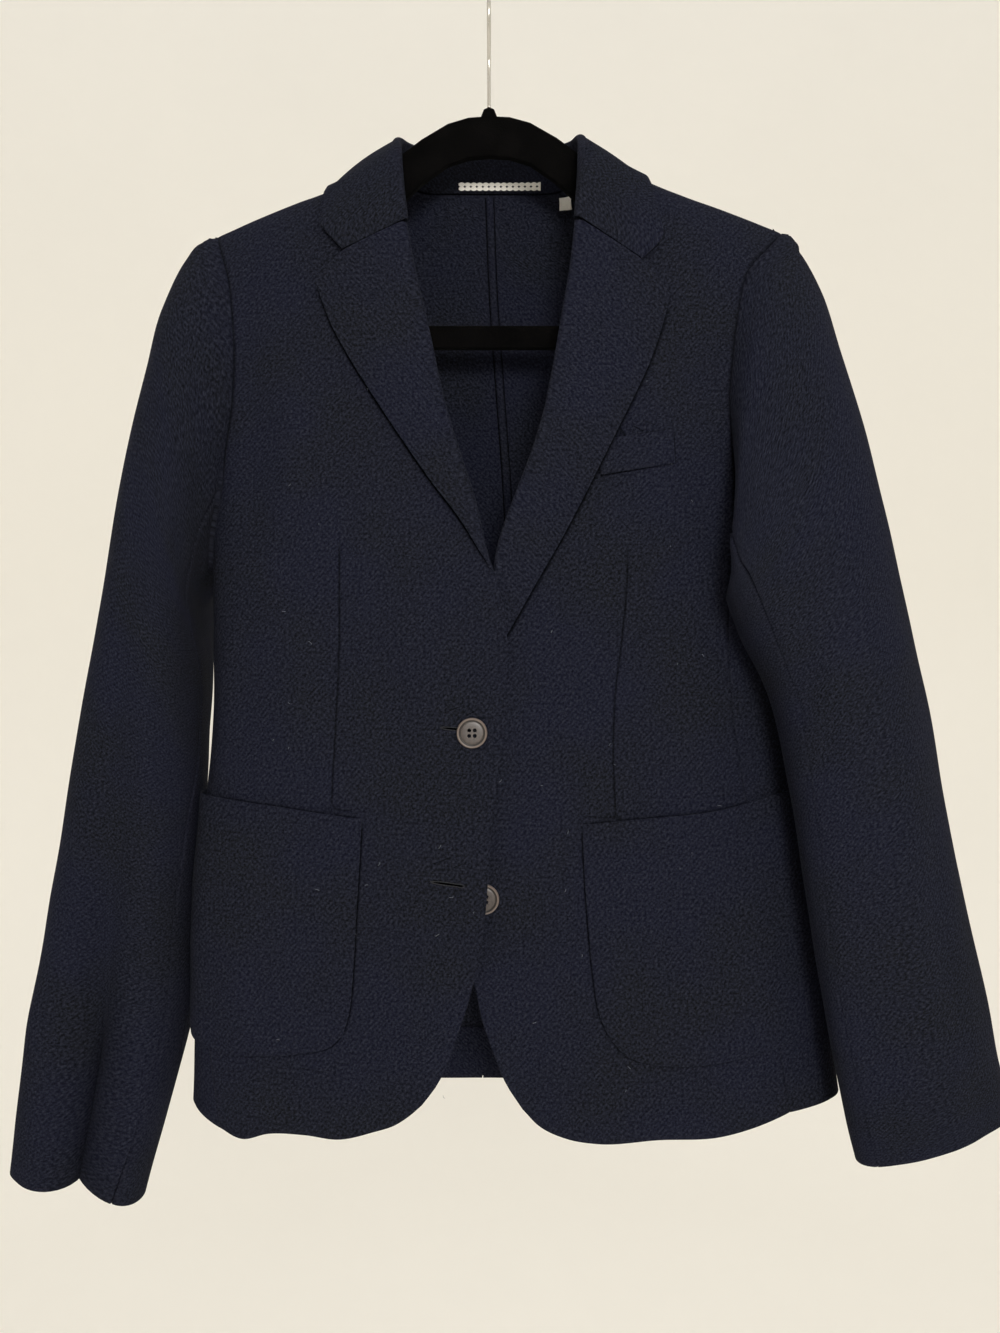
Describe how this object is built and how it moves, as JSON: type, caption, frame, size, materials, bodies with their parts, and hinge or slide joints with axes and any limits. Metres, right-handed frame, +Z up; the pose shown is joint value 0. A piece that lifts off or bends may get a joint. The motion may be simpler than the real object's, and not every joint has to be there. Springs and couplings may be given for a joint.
{
  "type": "single breasted blazer on a clothes hanger",
  "caption": "Single breasted blazer with notched lapels, patch pockets, a chest welt and long sleeves, hung on a flocked hanger with a wire hook.",
  "frame": {"origin": "the inside of the hook's top, where a rail carries the hanger", "axes": "+Z up, the jacket's front faces -Y, and its left sleeve is on the +X side"},
  "size_m": [0.656, 0.1395, 0.8077],
  "materials": {
    "wool_twill": "matt brushed wool twill, near-black blue",
    "cotton_tape": "white cotton braid of two rows of loops, scalloped along both edges",
    "label_tape": "bare satin tape",
    "resin": "mottled brown resin, half gloss",
    "velvet": "black flock",
    "steel": "plated wire"
  },
  "bodies": {
    "root": {"front_right": "wool_twill", "front_left": "wool_twill", "side_panel_right": "wool_twill", "side_panel_left": "wool_twill", "back_right": "wool_twill", "back_left": "wool_twill", "lapel_right": "wool_twill", "lapel_left": "wool_twill", "collar": "wool_twill", "sleeve_upper_right": "wool_twill", "sleeve_under_right": "wool_twill", "sleeve_upper_left": "wool_twill", "sleeve_under_left": "wool_twill", "pocket_right": "wool_twill", "pocket_left": "wool_twill", "chest_welt": "wool_twill", "centre_back_tape": "wool_twill", "back_hem": "wool_twill", "size_label": "label_tape", "loop_tape": "cotton_tape", "button_top": "resin", "button_bottom": "resin", "hanger_frame": "velvet", "hanger_hook": "steel"}
  },
  "joints": []
}
